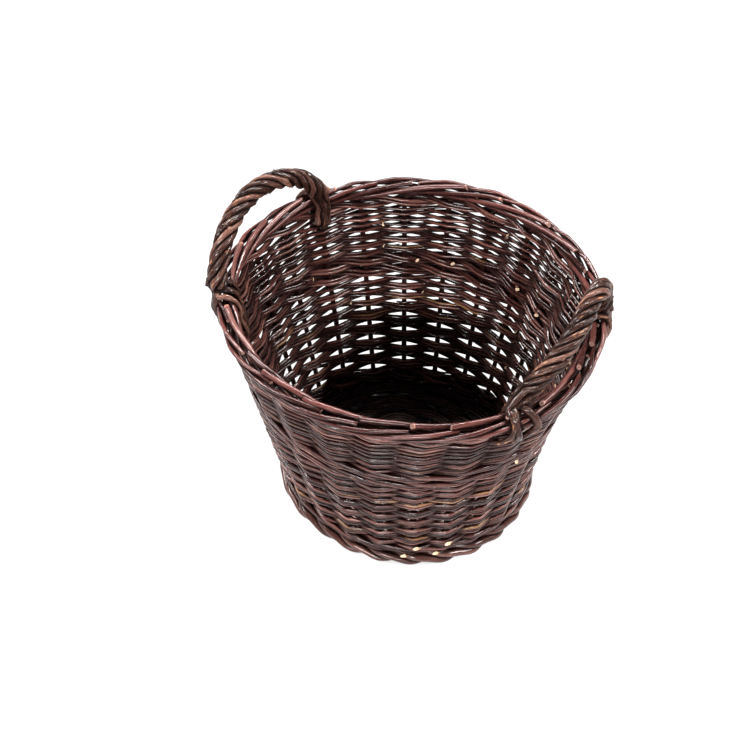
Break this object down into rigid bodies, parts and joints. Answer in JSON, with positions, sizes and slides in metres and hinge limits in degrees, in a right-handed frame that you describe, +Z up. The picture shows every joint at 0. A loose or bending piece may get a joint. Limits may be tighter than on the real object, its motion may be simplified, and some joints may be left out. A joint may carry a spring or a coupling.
{
  "type": "wicker shopping basket",
  "caption": "Round flared willow basket with an open top, a woven stake-and-strand wall, a braided border and foot, and a roped ear handle at each side.",
  "frame": {"origin": "on the floor under the middle of the base, at the bottom centre of the bounding box", "axes": "+Z up; +X and -X through the middles of the two handles; the basket repeats by half a turn about Z"},
  "size_m": [0.4432, 0.4168, 0.3728],
  "materials": {
    "border_willow": "smooth unpeeled bark, reddish brown, satin",
    "weaving_willow": "smooth unpeeled bark, dark brown, satin",
    "wale_willow": "smooth unpeeled bark, brown, satin",
    "foot_willow": "unpeeled bark, dark brown, satin",
    "base_willow": "unpeeled bark, nearly black, matt",
    "handle_willow": "rough twisted bark, brown with orange wear, satin"
  },
  "bodies": {
    "root": {"slit_stick_1": "base_willow", "slit_stick_2": "base_willow", "slit_stick_3": "base_willow", "through_stick_1": "base_willow", "through_stick_2": "base_willow", "through_stick_3": "base_willow", "base_weaver_a": "base_willow", "base_weaver_b": "base_willow", "stake_01": "border_willow", "stake_02": "border_willow", "stake_03": "border_willow", "stake_04": "border_willow", "stake_05": "border_willow", "stake_06": "border_willow", "stake_07": "border_willow", "stake_08": "border_willow", "stake_09": "border_willow", "stake_10": "border_willow", "stake_11": "border_willow", "stake_12": "border_willow", "stake_13": "border_willow", "stake_14": "border_willow", "stake_15": "border_willow", "stake_16": "border_willow", "stake_17": "border_willow", "stake_18": "border_willow", "stake_19": "border_willow", "stake_20": "border_willow", "stake_21": "border_willow", "stake_22": "border_willow", "stake_23": "border_willow", "stake_24": "border_willow", "foot_rod_1": "foot_willow", "foot_rod_2": "foot_willow", "foot_rod_3": "foot_willow", "bottom_wale_1": "wale_willow", "bottom_wale_2": "wale_willow", "bottom_wale_3": "wale_willow", "pack_weaver_a": "weaving_willow", "pack_weaver_b": "weaving_willow", "middle_wale_1": "wale_willow", "middle_wale_2": "wale_willow", "middle_wale_3": "wale_willow", "fine_weaver_a": "weaving_willow", "fine_weaver_b": "weaving_willow", "top_fitch_1": "wale_willow", "top_fitch_2": "wale_willow", "right_handle_bow": "handle_willow", "right_handle_rope_1": "handle_willow", "right_handle_rope_2": "handle_willow", "right_handle_rope_3": "handle_willow", "left_handle_bow": "handle_willow", "left_handle_rope_1": "handle_willow", "left_handle_rope_2": "handle_willow", "left_handle_rope_3": "handle_willow"}
  },
  "joints": []
}
